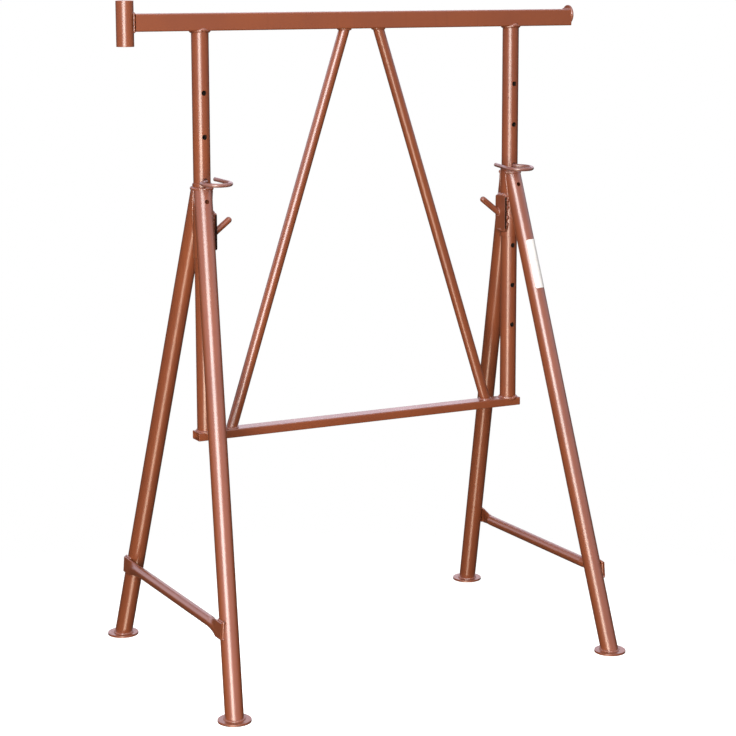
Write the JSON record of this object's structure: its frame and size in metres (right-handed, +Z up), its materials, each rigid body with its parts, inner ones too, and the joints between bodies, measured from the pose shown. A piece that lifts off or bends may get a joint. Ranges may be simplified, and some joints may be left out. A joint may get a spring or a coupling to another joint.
{
  "type": "folding trestle",
  "caption": "Height-adjustable steel builder's trestle: a square head beam on two pierced posts that slide in swivelling A-frame legs, pinned for height and turned to fold.",
  "frame": {"origin": "on the floor, under the middle of the overall length and width", "axes": "+X along the head beam from the guardrail socket to the end stop, +Y from the front, where the pins' loops are, to the back, +Z up"},
  "size_m": [1.194, 0.764, 1.5761],
  "materials": {
    "frame_paint": "gloss red-brown paint",
    "pin_paint": "gloss red-brown paint, rubbed at the shank",
    "label_film": "blank white film"
  },
  "bodies": {
    "head_frame": {"head_beam": "frame_paint", "guardrail_socket": "frame_paint", "end_stop_disc": "frame_paint", "lower_crossbar": "frame_paint", "left_post": "frame_paint", "right_post": "frame_paint", "left_diagonal": "frame_paint", "right_diagonal": "frame_paint"},
    "left_pin": {"left_locking_pin": "pin_paint"},
    "left_leg_frame": {"left_sleeve": "frame_paint", "left_front_leg": "frame_paint", "left_rear_leg": "frame_paint", "left_front_foot": "frame_paint", "left_rear_foot": "frame_paint", "left_spreader": "frame_paint", "left_hook_plate": "frame_paint", "left_hook_peg": "frame_paint"},
    "right_pin": {"right_locking_pin": "pin_paint"},
    "right_leg_frame": {"right_sleeve": "frame_paint", "right_front_leg": "frame_paint", "right_rear_leg": "frame_paint", "right_front_foot": "frame_paint", "right_rear_foot": "frame_paint", "right_spreader": "frame_paint", "right_hook_plate": "frame_paint", "right_hook_peg": "frame_paint", "leg_label": "label_film"}
  },
  "joints": [
    {"name": "left_height", "type": "slide", "parent": "head_frame", "child": "left_pin", "axis": [0, 0, 1], "range_m": [-0.4, 0.2]},
    {"name": "left_swivel", "type": "hinge", "parent": "left_pin", "child": "left_leg_frame", "pos_m": [-0.397, 0, 1.161], "axis": [0, 0, 1], "range_deg": [-57, 57]},
    {"name": "right_height", "type": "slide", "parent": "head_frame", "child": "right_pin", "axis": [0, 0, 1], "range_m": [-0.4, 0.2]},
    {"name": "right_swivel", "type": "hinge", "parent": "right_pin", "child": "right_leg_frame", "pos_m": [0.429, 0, 1.161], "axis": [0, 0, 1], "range_deg": [-57, 57]}
  ]
}
